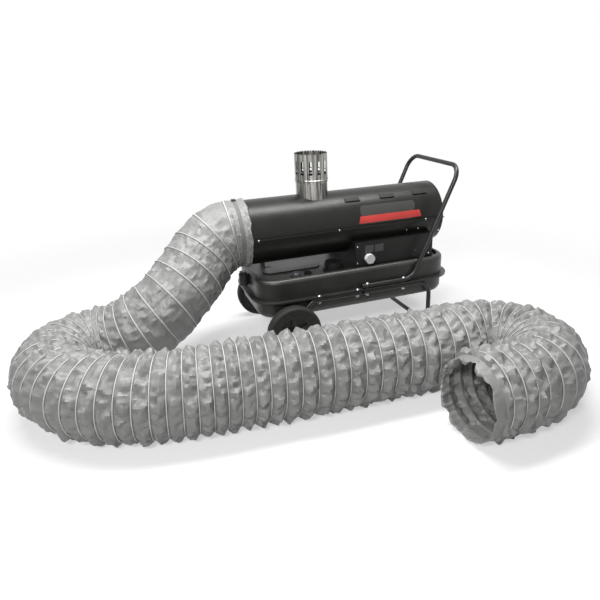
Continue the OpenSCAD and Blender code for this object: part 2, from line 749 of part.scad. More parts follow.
module handle() color("#1a1b1c") at_flue() difference() {
  union() {
    both_sides() translate([run_x0, arm_y, arm_z]) rotate([0, 90, 0]) rotate([0, 0, 180])
      tube_run(run_x1 - run_x0 - slope_cut) tube_bend(slope, bend_r)
        tube_run(slope_len - slope_cut - bend_r, [1, 1]) rotate([0, 0, 90]) tube_bend(90, bend_r);
    cross_bar(handle_x, handle_h);
  }
  bolt_holes(bolt_x, arm_z);
}

module leg_hoop() color("#1a1b1c") at_flue() difference() {
  union() {
    both_sides() translate([leg_x0, arm_y, leg_z]) rotate([0, 90, 0])
      tube_run(leg_x - leg_x0 - bend_r) tube_bend(90, bend_r)
        tube_run(leg_z - foot_z - 2 * bend_r, [1, 1]) rotate([0, 0, -90]) tube_bend(90, bend_r);
    cross_bar(leg_x, foot_z);
  }
  bolt_holes(bolt_x, leg_z);
}

// Wheel frames: a tube under the flange that slopes down to the axle boss
axle_h = wheel_d / 2;
axle_r = axle_d / 2;
wheel_y = flange_w / 2 + 34;
hub_r = 20;
hub_in = wheel_y - 30;
hub_out = wheel_y + 21.5;
boss_r = axle_r + 6;
boss_start = boss_r - 3;
frame_bend = 30;
frame_lean = 45;
frame_cut = frame_bend * tan(frame_lean / 2);
frame_rise = leg_z - axle_h;
frame_end = 118;

module wheel_frame() difference() {
  union() {
    translate([-axle_back, arm_y, axle_h]) rotate([0, 90 - frame_lean, 0])
      translate([0, 0, boss_start]) tube_run(frame_rise / sin(frame_lean) - boss_start - frame_cut)
        tube_bend(frame_lean, frame_bend)
          tube_run(frame_end + axle_back - frame_rise / tan(frame_lean) - frame_cut, [1, 0]);
    translate([-axle_back, hub_in - fit_gap, axle_h]) rotate([90, 0, 0])
      cylinder(h = hub_in - fit_gap - arm_y + tube_r + 4, r = boss_r);
  }
  translate([-axle_back, hub_out, axle_h]) rotate([90, 0, 0]) cylinder(h = hub_out, r = axle_r + run_gap);
  bolt_holes(frame_bolt_x, leg_z);
}

module wheel_frame_left() color("#1a1b1c") at_flue() mirror([0, 1, 0]) wheel_frame();

module wheel_frame_right() color("#1a1b1c") at_flue() wheel_frame();

nut_h = 6;
bolt_top = arm_z + tube_r;
bolt_low = leg_z - tube_r;

module flange_bolts() color("#b4b7b9") at_flue() both_sides() {
  for (x = bolt_x) {
    post(x, arm_y, bolt_low - nut_h - 2, bolt_top, bolt_r);
    translate([x, arm_y, bolt_top]) cylinder(h = 4, r1 = bolt_r + 3, r2 = bolt_r + 1);
  }
  for (x = frame_bolt_x) {
    post(x, arm_y, bolt_low - nut_h - 2, flange_top, bolt_r);
    translate([x, arm_y, flange_top]) cylinder(h = 4, r1 = bolt_r + 3, r2 = bolt_r + 1);
  }
}

module flange_nuts() color("#b4b7b9") at_flue() both_sides()
  for (x = concat(bolt_x, frame_bolt_x)) translate([x, arm_y, bolt_low - nut_h]) difference() {
    cylinder(h = nut_h, r = bolt_r + 3.5, $fn = 6);
    translate([0, 0, -1]) cylinder(h = nut_h + 2, r = bolt_r + run_gap);
  }

axle_end = hub_out + 2.5;

module axle() color("#8f9295") at_flue() translate([-axle_back, axle_end, axle_h]) rotate([90, 0, 0])
  cylinder(h = 2 * axle_end, r = axle_r);

module axle_caps() color("#1b1c1d") at_flue() both_sides()
  translate([-axle_back, axle_end + 4, axle_h]) rotate([90, 0, 0]) difference() {
    cylinder(h = axle_end + 4 - hub_out - fit_gap, r = axle_r + 5);
    translate([0, 0, 4]) cylinder(h = 20, r = axle_r + run_gap);
  }

// Wheels: a moulded rim whose five spokes stand on a closed disc, with a solid rubber tyre
rim_r = axle_h - tyre_h;
rim_t = 8;
wheel_rim_w = tyre_w - 3;
spoke_w = 19;
pocket_r = rim_r - 24;
face_w = 24;
spoke_t = face_w - 2;
web_t = 4;

module wheel_at() translate([-axle_back, wheel_y, axle_h]) rotate([90, 0, 0]) children();

module wheel_rim() wheel_at() {
  rotate_extrude() polygon([[axle_r + run_gap, wheel_y - hub_out], [hub_r, wheel_y - hub_out],
    [hub_r, -web_t / 2], [pocket_r, -web_t / 2], [pocket_r, -face_w / 2],
    [rim_r - rim_t, -face_w / 2], [rim_r - rim_t, -wheel_rim_w / 2], [rim_r, -wheel_rim_w / 2],
    [rim_r, wheel_rim_w / 2], [rim_r - rim_t, wheel_rim_w / 2], [rim_r - rim_t, face_w / 2],
    [pocket_r, face_w / 2], [pocket_r, web_t / 2], [hub_r, web_t / 2],
    [hub_r, wheel_y - hub_in], [axle_r + run_gap, wheel_y - hub_in]]);
  for (k = [0 : spoke_n - 1]) rotate(90 + k * 360 / spoke_n)
    translate([hub_r - 4, -spoke_w / 2, -spoke_t / 2]) cube([pocket_r - hub_r + 8, spoke_w, spoke_t]);
}

module tyre() wheel_at() rotate_extrude() difference() {
  translate([rim_r + fit_gap, 0]) polygon([[0, -tyre_w / 2], [tyre_h - 7, -tyre_w / 2],
    [tyre_h - 2, -tyre_w / 2 + 4], [tyre_h - fit_gap, -tyre_w / 2 + 9], [tyre_h - fit_gap, tyre_w / 2 - 9],
    [tyre_h - 2, tyre_w / 2 - 4], [tyre_h - 7, tyre_w / 2], [0, tyre_w / 2]]);
  for (z = [-5, 5]) translate([axle_h - 1.5, z - 1]) square([3, 2]);
}

module wheel_rim_left() color("#232527") at_flue() mirror([0, 1, 0]) wheel_rim();

module wheel_rim_right() color("#232527") at_flue() wheel_rim();

module tyre_left() color("#151617") at_flue() mirror([0, 1, 0]) tyre();

module tyre_right() color("#151617") at_flue() tyre();

// A bare label plate on the camera side, with a plain red stripe across it
label_t = 0.5;
label_r = shell_r + fit_gap;
label_x0 = 150;
label_x1 = 381;
label_z0 = casing_h + 8;
label_z1 = casing_h + 72;
stripe_x0 = 139;
stripe_x1 = 402;
stripe_z0 = casing_h + 11.5;
stripe_z1 = casing_h + 37;
stripe_lean = 7;

module side_label() color("#36393b") at_flue() intersection() {
  along_casing(label_x0, label_x1) ring_2d(label_r + label_t, label_r);
  across(-shell_r - 5, 0) {
    polygon([[label_x0, label_z0], [label_x1 - 20, label_z0], [label_x1, label_z1 - 12],
      [label_x1 - 6, label_z1], [label_x0 + 14, label_z1], [label_x0, label_z1 - 14]]);
    translate([label_x0 + 14, label_z1 - 14]) circle(r = 14);
  }
}

module label_stripe() color("#b5332b") at_flue() intersection() {
  along_casing(stripe_x0, stripe_x1)
    ring_2d(label_r + 2 * label_t + fit_gap, label_r + label_t + fit_gap);
  across(-shell_r - 5, 0) polygon([[stripe_x0, stripe_z0], [stripe_x1, stripe_z0],
    [stripe_x1 - stripe_lean, stripe_z1], [stripe_x0 + stripe_lean, stripe_z1]]);
}

// Duct: its cuff is strapped over the outlet ring
cuff_t = 2;
cuff_in_r = shell_in_r;
cuff_r = cuff_in_r + cuff_t;
cuff_x0 = shell_x0 - outlet_reach - 3.5;
strap_x0 = cuff_x0 + 2;
strap_w = 12;
strap_t = 1.6;

module duct_cuff() color("#8b8d8d") at_flue()
  along_casing(cuff_x0, cuff_x0 + 30) ring_2d(cuff_r, cuff_in_r);

module duct_strap() color("#5b5d5e") at_flue()
  along_casing(strap_x0, strap_x0 + strap_w) ring_2d(cuff_r + fit_gap + strap_t, cuff_r + fit_gap);

module strap_buckle() color("#3a3c3d") at_flue()
  translate([strap_x0 - 1, -10, casing_h + cuff_r + strap_t + 2 * fit_gap]) cube([strap_w + 2, 20, 5]);

// Route of the duct's centre line: out of the cuff, down to the floor, round and back.
// The first and last points only aim the curve.
lay_h = 125;
route = [[-350, -5, 415], [-421.5, 2.5, 431.5], [-490, -5, 415], [-545, -30, 370], [-615, -80, 305],
  [-700, -120, 235], [-795, -125, 170], [-890, -95, 130], [-965, -95, lay_h], [-1025, -130, lay_h],
  [-1065, -190, lay_h], [-1070, -265, lay_h], [-1045, -330, lay_h], [-995, -400, lay_h],
  [-915, -460, lay_h], [-815, -500, lay_h], [-705, -520, lay_h], [-585, -530, lay_h],
  [-455, -540, lay_h], [-325, -550, lay_h], [-195, -560, lay_h], [-65, -565, lay_h],
  [55, -570, lay_h], [140, -570, lay_h], [205, -560, lay_h], [280, -580, lay_h],
  [335, -635, lay_h], [355, -705, lay_h], [340, -775, lay_h], [295, -830, lay_h],
  [230, -855, lay_h], [165, -860, lay_h], [95, -865, lay_h], [25, -870, lay_h], [-45, -875, lay_h]];
route_end = route[len(route) - 2];

// A smooth curve drawn by the route's points, and the length along it
curve_steps = 8;
function blend(a, b, c, d, t) = (a * pow(1 - t, 3) + b * (3 * t * t * t - 6 * t * t + 4)
  + c * (3 * t + 3 * t * t - 3 * t * t * t + 1) + d * t * t * t) / 6;
curve = [for (i = [0 : len(route) - 4], j = [0 : curve_steps - (i == len(route) - 4 ? 0 : 1)])
  blend(route[i], route[i + 1], route[i + 2], route[i + 3], j / curve_steps)];
curve_n = len(curve);
function step_len(i) = i < curve_n ? norm(curve[i] - curve[i - 1]) : 0;
run = [for (i = 0, s = 0; i < curve_n; i = i + 1, s = s + step_len(i)) s];
run_len = run[curve_n - 1];
table = [for (axis = [0 : 2]) [for (i = [0 : curve_n - 1]) [run[i], curve[i][axis]]]];
function at_run(s) = [for (axis = [0 : 2]) lookup(s, table[axis])];
function unit(v) = v / norm(v);

// Rings along the duct: fabric and wire in turn, and the bore inside
sides = 12;
duct_r = duct_d / 2;
hem_r = hem_d / 2;
hem_t = 2.5;
ring_n = 2 * rib_n;
duct_bore_r = duct_r - duct_dip - duct_t;
function ring_r(k) = k == 0 ? cuff_r : k == ring_n ? hem_r : k % 2 == 1 ? duct_r : duct_r - duct_dip;
function bore_r(k) = k == 0 ? cuff_in_r : k == ring_n ? hem_r - hem_t : duct_bore_r;
function heading(k, s) = k == 0 ? route[2] - route[0]
  : k == ring_n ? route_end - route[len(route) - 3] : at_run(s + 1) - at_run(s - 1);
function ring_pts(k, r) = let (
    s = k * run_len / ring_n,
    ahead = unit(heading(k, s)),
    side = unit(cross(ahead, [0, 0, 1])),
    up = cross(side, ahead),
    turn = 360 / sides
  ) [for (i = [0 : sides - 1]) at_run(s) + r * (cos(i * turn) * side + sin(i * turn) * up)];
outer_rings = [for (k = [0 : ring_n]) ring_pts(k, ring_r(k))];
bore_rings = [for (k = [0 : 2 : ring_n]) ring_pts(k, bore_r(k))];

// Least gap of the duct to itself: between two passes, and between two wires inside a bend
middles = [for (k = [0 : ring_n]) at_run(k * run_len / ring_n)];
far = ceil(ring_n * 3 * duct_r / run_len);
pass_gap = min([for (k = [0 : ring_n - far], m = [k + far : ring_n])
  norm(middles[k] - middles[m])]) - duct_d;
fold_gap = min([for (k = [1 : 2 : ring_n - 3], i = [0 : sides - 1])
  norm(outer_rings[k][i] - outer_rings[k + 2][i])]);
echo(duct_length = run_len + hem_len, gap_between_passes = pass_gap, gap_between_wires = fold_gap);

module duct_hose() color("#8f9191") {
  points = concat([for (ring = outer_rings) each ring], [for (ring = bore_rings) each ring]);
  inside = (ring_n + 1) * sides;
  last_out = ring_n * sides;
  last_in = inside + rib_n * sides;
  faces = [
    for (k = [0 : ring_n - 1], i = [0 : sides - 1])
      let (a = k * sides + i, b = k * sides + (i + 1) % sides)
      each [[a, b, b + sides], [a, b + sides, a + sides]],
    for (k = [0 : rib_n - 1], i = [0 : sides - 1])
      let (a = inside + k * sides + i, b = inside + k * sides + (i + 1) % sides)
      each [[a, b + sides, b], [a, a + sides, b + sides]],
    for (i = [0 : sides - 1]) let (j = (i + 1) % sides)
      each [[i, inside + j, j], [i, inside + i, inside + j]],
    for (i = [0 : sides - 1]) let (j = (i + 1) % sides)
      each [[last_out + i, last_out + j, last_in + j], [last_out + i, last_in + j, last_in + i]]
  ];
  polyhedron(points, faces);
}

module mouth_hem() color("#838585") {
  ahead = route_end - route[len(route) - 3];
  translate(route_end) rotate([0, 0, atan2(ahead[1], ahead[0])]) rotate([0, 90, 0])
    linear_extrude(hem_len) ring_2d(hem_r, hem_r - hem_t);
}

upper_shell();
lower_shell();
seam_screws();
side_screws();
outlet_ring();
rear_guard();
fan();
fan_motor();
motor_shaft();
motor_bracket();
fuel_pump();
burner_head();
combustion_chamber();
heat_exchanger();
exchanger_saddles();
flue_sleeve();
flue_cowl();
casing_support();
control_housing();
control_panel();
panel_screws();
thermostat_knob();
thermostat_spindle();
thermostat();
display_bezels();
display_modules();
indicator_lamp();
circuit_board();
ignition_transformer();
cable_gland();
tank_upper();
tank_lower();
filler_neck();
filler_cap();
fuel_gauge();
tank_vent();
fuel_pickup();
fuel_line();
fuel_filter();
filter_screw();
drain_plug();
handle();
leg_hoop();
wheel_frame_left();
wheel_frame_right();
flange_bolts();
flange_nuts();
axle();
axle_caps();
wheel_rim_left();
wheel_rim_right();
tyre_left();
tyre_right();
side_label();
label_stripe();
duct_cuff();
duct_strap();
strap_buckle();
duct_hose();
mouth_hem();
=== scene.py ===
import math

import bmesh
import bpy
import numpy as np
from mathutils import Matrix, Vector, noise


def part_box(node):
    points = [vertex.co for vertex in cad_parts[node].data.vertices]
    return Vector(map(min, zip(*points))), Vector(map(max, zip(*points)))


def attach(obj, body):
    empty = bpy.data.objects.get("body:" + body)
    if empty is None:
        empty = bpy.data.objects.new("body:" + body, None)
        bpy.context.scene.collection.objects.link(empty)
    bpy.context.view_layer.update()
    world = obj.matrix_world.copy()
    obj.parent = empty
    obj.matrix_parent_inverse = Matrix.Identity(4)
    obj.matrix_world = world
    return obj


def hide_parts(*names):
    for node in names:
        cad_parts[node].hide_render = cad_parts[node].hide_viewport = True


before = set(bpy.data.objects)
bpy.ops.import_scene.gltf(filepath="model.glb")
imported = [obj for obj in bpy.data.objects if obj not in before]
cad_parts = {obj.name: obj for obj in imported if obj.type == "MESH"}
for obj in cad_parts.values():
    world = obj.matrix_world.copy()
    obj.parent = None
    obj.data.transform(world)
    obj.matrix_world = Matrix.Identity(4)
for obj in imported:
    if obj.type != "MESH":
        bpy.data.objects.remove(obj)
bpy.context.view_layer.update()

# Camera: it stands to the left of the heater, just under a metre up, and looks down on it.
# Its lens, turn and small shift are the ones that fit the heater's straight edges.
eye = Vector((-0.8348, -1.9577, 0.9734))
eye_turn = math.radians(20.62)
eye_down = math.radians(22.37)
eye_roll = math.radians(-1.70)
camera = bpy.data.objects.new("camera", bpy.data.cameras.new("camera"))
bpy.context.scene.collection.objects.link(camera)
bpy.context.scene.camera = camera
camera.data.lens = 33.71
camera.data.sensor_width = 36
camera.data.shift_x = -0.032
camera.data.shift_y = -0.0007
camera.data.clip_start = 0.05
camera.data.clip_end = 50
camera.matrix_world = (Matrix.Translation(eye) @ Matrix.Rotation(-eye_turn, 4, "Z")
                       @ Matrix.Rotation(math.pi / 2 - eye_down, 4, "X")
                       @ Matrix.Rotation(eye_roll, 4, "Z"))


# Duct: a grey coated cloth tube sewn on a spring wire that winds round it from end to end. It
# leaves the casing, drops to the floor, turns back in a wide bend, runs along the front and turns
# once more.

# The height of its centre where it lies on the floor, and the points that draw its centre line,
# of which the first and the last only aim the curve
lay = 0.125
route = [(-0.350, -0.005, 0.415), (-0.4215, 0.0025, 0.4315), (-0.490, -0.005, 0.415),
         (-0.545, -0.030, 0.370), (-0.615, -0.080, 0.305), (-0.700, -0.120, 0.235),
         (-0.795, -0.125, 0.170), (-0.890, -0.095, 0.130), (-0.965, -0.095, lay),
         (-1.025, -0.130, lay), (-1.065, -0.190, lay), (-1.070, -0.265, lay),
         (-1.045, -0.330, lay), (-0.995, -0.400, lay), (-0.915, -0.460, lay),
         (-0.815, -0.500, lay), (-0.705, -0.520, lay), (-0.585, -0.530, lay),
         (-0.455, -0.540, lay), (-0.325, -0.550, lay), (-0.195, -0.560, lay),
         (-0.065, -0.565, lay), (0.055, -0.570, lay), (0.140, -0.570, lay),
         (0.205, -0.560, lay), (0.280, -0.580, lay), (0.335, -0.635, lay),
         (0.355, -0.705, lay), (0.340, -0.775, lay), (0.295, -0.830, lay),
         (0.230, -0.855, lay), (0.165, -0.860, lay), (0.095, -0.865, lay),
         (0.025, -0.870, lay), (-0.045, -0.875, lay)]

# The wire: the radius and number of its turns, its own thickness, how far its centre stands off
# the cloth's ring, and its pitch at some turns, long where the duct hangs taut and short where it
# is pushed together
wire_r = 0.1205
turns = 65
wire_d = 0.0034
wire_stand = 0.0019
pitch_at = [(0, 0.064), (6, 0.062), (9, 0.042), (33, 0.038), (37, 0.048), (50, 0.048),
            (53, 0.040), (62, 0.040), (65, 0.046)]


def unit(v):
    """Vectors of the same direction and length one."""
    return v / np.linalg.norm(v, axis=-1, keepdims=True)


class Path:
    """The smooth curve that a list of points aims, by length along it."""

    def __init__(self, points, steps=24):
        p = np.array(points)
        t = np.linspace(0, 1, steps, endpoint=False)[:, None]
        runs = [((1 - t) ** 3 * a + (3 * t ** 3 - 6 * t ** 2 + 4) * b
                 + (3 * t + 3 * t ** 2 - 3 * t ** 3 + 1) * c + t ** 3 * d) / 6
                for a, b, c, d in zip(p, p[1:], p[2:], p[3:])]
        self.points = np.vstack(runs + [(p[-3:-2] + 4 * p[-2:-1] + p[-1:]) / 6])
        gaps = np.linalg.norm(np.diff(self.points, axis=0), axis=1)
        self.run = np.concatenate([[0], np.cumsum(gaps)])
        self.length = self.run[-1]

    def at(self, s):
        """Points at the lengths s; past either end it goes straight on."""
        inside = np.stack([np.interp(s, self.run, self.points[:, k]) for k in range(3)], -1)
        first = unit(self.points[1] - self.points[0])
        last = unit(self.points[-1] - self.points[-2])
        return (inside + np.minimum(s, 0)[..., None] * first
                + np.maximum(s - self.length, 0)[..., None] * last)

    def tube(self, s, turn, r, step=0.004):
        """Points at length s, angle turn (in whole turns from the side) and radius r."""
        ahead = unit(self.at(s + step) - self.at(s - step))
        side = unit(np.cross(ahead, (0, 0, 1)))
        a = 2 * np.pi * turn
        return (self.at(s) + (r * np.cos(a))[..., None] * side
                + (r * np.sin(a))[..., None] * np.cross(side, ahead))


# Length along the duct against turns of the wire, stretched so that the turns fill the route
path = Path(route)
steps_per_turn = 20
turn_grid = np.linspace(-1, turns + 1, (turns + 2) * steps_per_turn + 1)
pitch_grid = np.interp(turn_grid, *zip(*pitch_at))
wire_run = np.concatenate([[0], np.cumsum((pitch_grid[1:] + pitch_grid[:-1]) / 2)])
wire_run -= np.interp(0, turn_grid, wire_run)
wire_run *= path.length / np.interp(turns, turn_grid, wire_run)


def wire_at(turn):
    """Length along the duct at which the wire has made so many turns."""
    return np.interp(turn, turn_grid, wire_run)


def sheet_of(name, place, columns, rows, wrap=False):
    """A piece from a grid: place gives its points from two shares of 0 to 1, along and across."""
    bm = bmesh.new()
    bmesh.ops.create_grid(bm, x_segments=columns, y_segments=rows, size=0.5)
    shares = np.array([v.co for v in bm.verts]) + 0.5
    for vert, point in zip(bm.verts, place(shares[:, 0], shares[:, 1])):
        vert.co = point
    if wrap:
        bmesh.ops.remove_doubles(bm, verts=bm.verts, dist=1e-6)
    bmesh.ops.reverse_faces(bm, faces=bm.faces)
    mesh = bpy.data.meshes.new(name)
    bm.to_mesh(mesh)
    bm.free()
    mesh.shade_smooth()
    piece = bpy.data.objects.new(name, mesh)
    bpy.context.scene.collection.objects.link(piece)
    return piece, shares


# The cloth is one strip that winds round with the wire. At some turns: how deep its folds are,
# and how far it swells out between two turns of the wire. It is drawn in where the duct hangs
# taut and stands out where the wire is pushed together, in an arch a little fuller than a sine.
fold_at = [(0, 0.004), (3, 0.006), (9, 0.009), (30, 0.010), (36, 0.011), (64, 0.010)]
swell_at = [(0, -0.001), (5, -0.002), (9, 0.004), (14, 0.008), (30, 0.010), (36, 0.012),
            (64, 0.009)]
arch_power = 0.8

# The gap between two turns also sets how freely the cloth stands out: it is squeezed inwards on
# the inside of a tight bend and pulled flatter on the outside, but its folds keep a least depth
room_at = [(0.010, -0.3), (0.030, 1), (0.048, 1), (0.075, 0.45)]
least_room = 0.15

# Two sizes of crease lie over each other: their spacing in turns and their share of the depth.
# The two jagged lines of each run within these shares of the strip's width.
creases = [(0.040, 1.2), (0.020, 0.7)]
near_band = (0.15, 0.48)
far_band = (0.52, 0.85)

# Share of the strip's width that is sewn flat under the wire at either edge, and the share by
# which the grid is drawn closer there
seam = 0.048
drawn_in = 0.09
chance = np.random.default_rng(11)


def zigzag(turn, spacing, low, high):
    """A jagged line along the strip, from near low to near high and back at uneven steps."""
    start, spare, jag = -1.1, 1.2, 0.6
    steps = chance.uniform(0.5, 1.5, int((turns + 2) / spacing * spare))
    corners = np.cumsum(steps) * spacing + start
    share = chance.uniform(0, jag, len(corners))
    share = np.where(np.arange(len(corners)) % 2, share, 1 - share)
    return np.interp(turn, corners, low + (high - low) * share)


def facets(turn, over, spacing, depth):
    """Heights of the crumpled cloth: two jagged lines run along the strip, flat facets between."""
    near, far = zigzag(turn, spacing, *near_band), zigzag(turn, spacing, *far_band)
    near_high = zigzag(turn, spacing, -depth, depth)
    far_high = zigzag(turn, spacing, -depth, depth)
    between = near_high + (far_high - near_high) * (over - near) / (far - near)
    return np.where(over < near, near_high * over / near,
                    np.where(over > far, far_high * (1 - over) / (1 - far), between))


def strip_place(along, over):
    """Turns made, share of the strip's width and length along the duct, at a place on the grid."""
    turn = along * (turns + 1) - 1
    width_share = over - drawn_in * np.sin(2 * np.pi * over)
    return turn, width_share, wire_at(turn) + width_share * (wire_at(turn + 1) - wire_at(turn))


def strip_points(along, over):
    """The strip of cloth from one turn of the wire to the next: flat under the wire, where it is
    sewn, and creased between."""
    turn, width_share, s = strip_place(along, over)
    over = np.clip((width_share - seam) / (1 - 2 * seam), 0, 1)
    gap = np.linalg.norm(path.tube(wire_at(turn + 1), turn, wire_r)
                         - path.tube(wire_at(turn), turn, wire_r), axis=1)
    room = np.interp(gap, *zip(*room_at))
    folded = sum(facets(turn, over, spacing, depth) for spacing, depth in creases)
    folded *= np.interp(turn, *zip(*fold_at)) * np.maximum(room, least_room)
    swell = np.interp(turn, *zip(*swell_at)) * room * np.sin(np.pi * over) ** arch_power
    return path.tube(s, turn, wire_r + swell + folded)


strip_columns, strip_rows = 140, 10
duct, shares = sheet_of("duct_cloth", strip_points, (turns + 1) * strip_columns, strip_rows)
strip_turn, _, strip_s = strip_place(shares[:, 0], shares[:, 1])

# A short cloth run settles the creases. The strip is held along the wire and at both ends; it is
# 3 percent larger than its grid, a little air swells it, and it bends stiffly like coated cloth.
sewn_share, end_length, moments = 0.11, 0.004, 12
on_wire = np.minimum(shares[:, 1], 1 - shares[:, 1]) < sewn_share
at_end = np.minimum(strip_s, path.length - strip_s) < end_length
held = duct.vertex_groups.new(name="held")
held.add(np.nonzero(on_wire | at_end)[0].tolist(), 1, "REPLACE")
cloth = duct.modifiers.new("hang", "CLOTH")
cloth.settings.quality = 5
cloth.settings.mass = 0.05
cloth.settings.air_damping = 1
cloth.settings.tension_stiffness = 40
cloth.settings.compression_stiffness = 40
cloth.settings.shear_stiffness = 10
cloth.settings.bending_stiffness = 2
cloth.settings.vertex_group_mass = "held"
cloth.settings.shrink_min = -0.03
cloth.settings.use_pressure = True
cloth.settings.uniform_pressure_force = 0.1
cloth.collision_settings.use_collision = False
cloth.point_cache.frame_end = moments
for moment in range(1, moments + 1):
    bpy.context.scene.frame_set(moment)
hung = duct.evaluated_get(bpy.context.evaluated_depsgraph_get())
settled = np.empty(len(shares) * 3, np.float32)
hung.data.vertices.foreach_get("co", settled)
duct.modifiers.remove(cloth)
duct.vertex_groups.clear()
bpy.context.scene.frame_set(1)
settled = settled.reshape(-1, 3)

# The first and last turns of the strip are cut off square, nothing goes into the floor, and a
# fold keeps its edge where it is sharper than this angle
floor_gap = 0.001
sharp_fold = math.radians(32)
past = (strip_s < 0) | (strip_s > path.length)
ends = path.tube(np.clip(strip_s, 0, path.length), strip_turn, wire_r)
settled = np.where(past[:, None], ends, settled)
settled[:, 2] = np.maximum(settled[:, 2], floor_gap)
duct.data.vertices.foreach_set("co", settled.astype(np.float32).ravel())
duct.data.update()
bm = bmesh.new()
bm.from_mesh(duct.data)
bmesh.ops.dissolve_degenerate(bm, edges=bm.edges, dist=1e-5)
bm.to_mesh(duct.data)
bm.free()
duct.data.set_sharp_from_angle(angle=sharp_fold)


def wire_points(along, over):
    """The wire itself, a thin round rod that stands on the cloth."""
    turn, a = along * turns, 2 * np.pi * over
    return path.tube(wire_at(turn) + wire_d / 2 * np.sin(a), turn,
                     wire_r + wire_stand + wire_d / 2 * np.cos(a))


wire_columns, wire_rows = 72, 6
wire = sheet_of("duct_wire", wire_points, turns * wire_columns, wire_rows, wrap=True)[0]


# Ends of the duct: at the cuff the same cloth is strapped down on the outlet ring, and its edge
# stands out over the casing in loose pleats; at the mouth it is turned in over a last hoop and
# hemmed.

# The cuff takes its place from the shell, the ring and the strap that it meets; the upper
# shell's lower edge is level with the casing's axis
shell_low, shell_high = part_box("upper_shell")
strap_low, strap_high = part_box("duct_strap")
axis_z = shell_low[2]
shell_r = shell_high[2] - axis_z
ring_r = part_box("outlet_ring")[1][1]
cuff_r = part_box("duct_cuff")[1][1]

# Across the cuff, from the duct to its free edge: where it is along the casing, how far it
# stands off, how loose it is, and how much the wave of the free edge moves it
cuff_part = (0.0, 0.36, 0.62, 1.0)
cuff_x = (strap_low[0] - 0.018, strap_low[0] - 0.001, strap_high[0] + 0.002, shell_low[0])
cuff_off = (0.0024, 0.0, 0.0, 0.0047)
cuff_slack = (0.3, 0.0, 0.0, 1.0)
cuff_edge = (0.0, 0.0, 0.0, 1.0)

# Its pleats: how fine they are and their seed, half of the second kind on the first; how far they
# lift the cloth; and how far it stays clear of the ring and, from a short lap on, of the shell
broad_pleats, narrow_pleats, edge_pleats = (7, 3.1), (15, 8.2), (3, 5.5)
pleat_lift, pleat_depth, edge_wave = 0.0022, 0.0052, 0.006
ring_gap, shell_gap, shell_lap = 0.0005, 0.001, 0.008


def folds(turn, over, fine, seed, change=9):
    """Uneven pleats round a ring, from -1 to 1, and how they change across it."""
    a = 2 * np.pi * turn
    places = np.stack([fine * np.cos(a) + seed, fine * np.sin(a), change * over], -1)
    return np.array([noise.noise(Vector(place)) for place in places])


def cuff_points(along, over):
    """The cuff, tight under its strap; it stays clear of the ring and the shell inside it."""
    pleat = folds(along, over, *broad_pleats) + 0.5 * folds(along, over, *narrow_pleats)
    wave = edge_wave * folds(along, 0 * over, *edge_pleats) - edge_wave
    x = np.interp(over, cuff_part, cuff_x) + np.interp(over, cuff_part, cuff_edge) * wave
    r = cuff_r + np.interp(over, cuff_part, cuff_off)
    r = r + np.interp(over, cuff_part, cuff_slack) * (pleat_lift + pleat_depth * pleat)
    on_shell = x > shell_low[0] - shell_lap
    r = np.maximum(r, np.where(on_shell, shell_r + shell_gap, ring_r + ring_gap))
    a = 2 * np.pi * along
    return np.stack([x, r * np.sin(a), axis_z + r * np.cos(a)], -1)


cuff_columns, cuff_rows = 320, 30
cuff = sheet_of("cuff_cloth", cuff_points, cuff_columns, cuff_rows, wrap=True)[0]

# Across the hem, from the outside round its edge to the inside: reach past the duct's end,
# radius, the shares of the crumple along and outwards, and the most that the radius may be
hem_part = (0.0, 0.42, 0.5, 0.58, 1.0)
hem_reach = (-0.004, 0.0330, 0.0345, 0.0330, 0.004)
hem_r = (0.1208, 0.1192, 0.1180, 0.1165, 0.1150)
hem_along = (0.0, 1.0, 1.0, 1.0, 0.3)
hem_outwards = (0.0, 0.3, 0.8, 1.0, 1.0)
hem_most = [(0, 0.1222), (0.5, 0.1215), (1, 0.1190)]

# Round the hem: how crumpled it is, little on the near side and most at the top and far side
crumple_at = [(0, 1.0), (0.12, 1.3), (0.3, 1.1), (0.42, 0.25), (0.6, 0.15), (0.72, 0.5),
              (0.85, 0.9), (1, 1.0)]

# Its folds: how fine they are and their seed, broad ones with narrow ones on them; how far they
# pull the edge back, and the share of that where there is no fold; how far they bulge and sink
broad_folds, narrow_folds = (4, 1.7), (9, 6.4)
pull_back, pull_always = 0.014, 0.4
bulge, sink = 0.011, 0.004


def hem_points(along, over):
    """The turned-in edge of the mouth; its folds hardly change across it."""
    crumple = np.interp(along, *zip(*crumple_at))
    loose = folds(along, 0.15 * over, *broad_folds) + 0.6 * folds(along, 0.2 * over, *narrow_folds)
    s = path.length + np.interp(over, hem_part, hem_reach)
    s = s - pull_back * crumple * np.interp(over, hem_part, hem_along) * (pull_always + loose)
    r = np.interp(over, hem_part, hem_r)
    r = r + crumple * np.interp(over, hem_part, hem_outwards) * (bulge * loose - sink)
    return path.tube(s, along, np.minimum(r, np.interp(over, *zip(*hem_most))))


hem_columns, hem_rows = 360, 24
hem = sheet_of("hem_cloth", hem_points, hem_columns, hem_rows, wrap=True)[0]


def linear(colour):
    """Scene colour from a hex colour."""
    parts = [int(colour[k:k + 2], 16) / 255 for k in (1, 3, 5)]
    return [c / 12.92 if c <= 0.04045 else ((c + 0.055) / 1.055) ** 2.4 for c in parts] + [1]


def add(tree, kind, inputs=None, **settings):
    """A shader node with its settings; an input that is given a socket is linked to it."""
    node = tree.nodes.new("ShaderNode" + kind)
    for key, value in settings.items():
        setattr(node, key, value)
    for key, value in (inputs or {}).items():
        if isinstance(value, bpy.types.NodeSocket):
            tree.links.new(value, node.inputs[key])
        else:
            node.inputs[key].default_value = value
    return node


